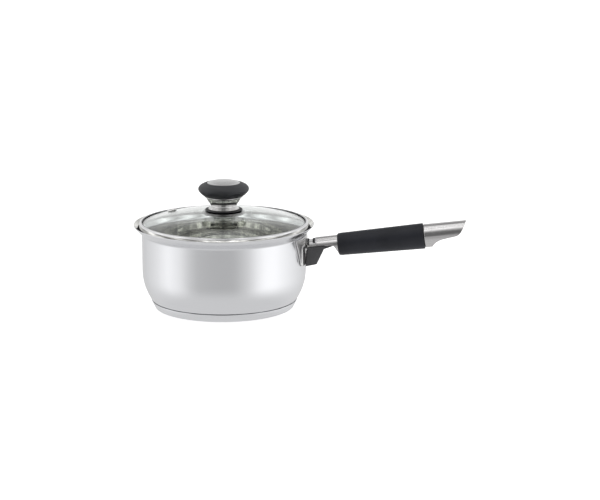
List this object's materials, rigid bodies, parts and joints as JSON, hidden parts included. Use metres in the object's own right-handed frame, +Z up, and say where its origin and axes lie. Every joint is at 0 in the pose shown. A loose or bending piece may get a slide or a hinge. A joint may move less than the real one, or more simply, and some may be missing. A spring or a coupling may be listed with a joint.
{
  "type": "saucepan",
  "caption": "Stainless steel saucepan with a long tube handle, black soft grip and a domed glass lid with a steel band, steam vent and round knob.",
  "frame": {"origin": "centre of the underside of the base, where the pan stands", "axes": "+Z up along the pot's axis, +X along the handle away from the pot, +Y to the left when looking along the handle"},
  "size_m": [0.3253, 0.1774, 0.1261],
  "materials": {
    "polished_steel": "bright polish with faint turning lines",
    "satin_steel": "satin, brushed along the tube",
    "aluminium_core": "rolled",
    "brass": "turned",
    "black_plastic": "moulded, low sheen",
    "grey_plastic": "moulded, matt",
    "soft_grip": "soft-touch, fine grain",
    "black_rubber": "moulded",
    "clear_glass": "clear tempered glass, slightly green"
  },
  "bodies": {
    "pan": {"pot_body": "polished_steel", "base_core": "aluminium_core", "base_cap": "polished_steel", "handle_bracket": "polished_steel", "handle_arm": "satin_steel", "neck_ring_front": "black_rubber", "neck_ring_rear": "black_rubber", "flame_guard": "grey_plastic", "handle_tube": "satin_steel", "grip_sleeve": "soft_grip", "tube_bulkhead": "satin_steel", "bolt_washer": "satin_steel", "handle_bolt": "satin_steel"},
    "lid": {"lid_glass": "clear_glass", "lid_band": "polished_steel", "vent_eyelet": "satin_steel", "vent_washer": "satin_steel", "knob_gasket": "black_rubber", "knob_stem": "polished_steel", "knob_grip": "black_plastic", "knob_cap": "satin_steel", "knob_insert": "brass", "under_gasket": "black_rubber", "under_washer": "satin_steel", "knob_screw": "satin_steel"}
  },
  "joints": [
    {"name": "lid_lift", "type": "slide", "parent": "pan", "child": "lid", "axis": [0, 0, 1], "range_m": [0, 0.12]}
  ]
}
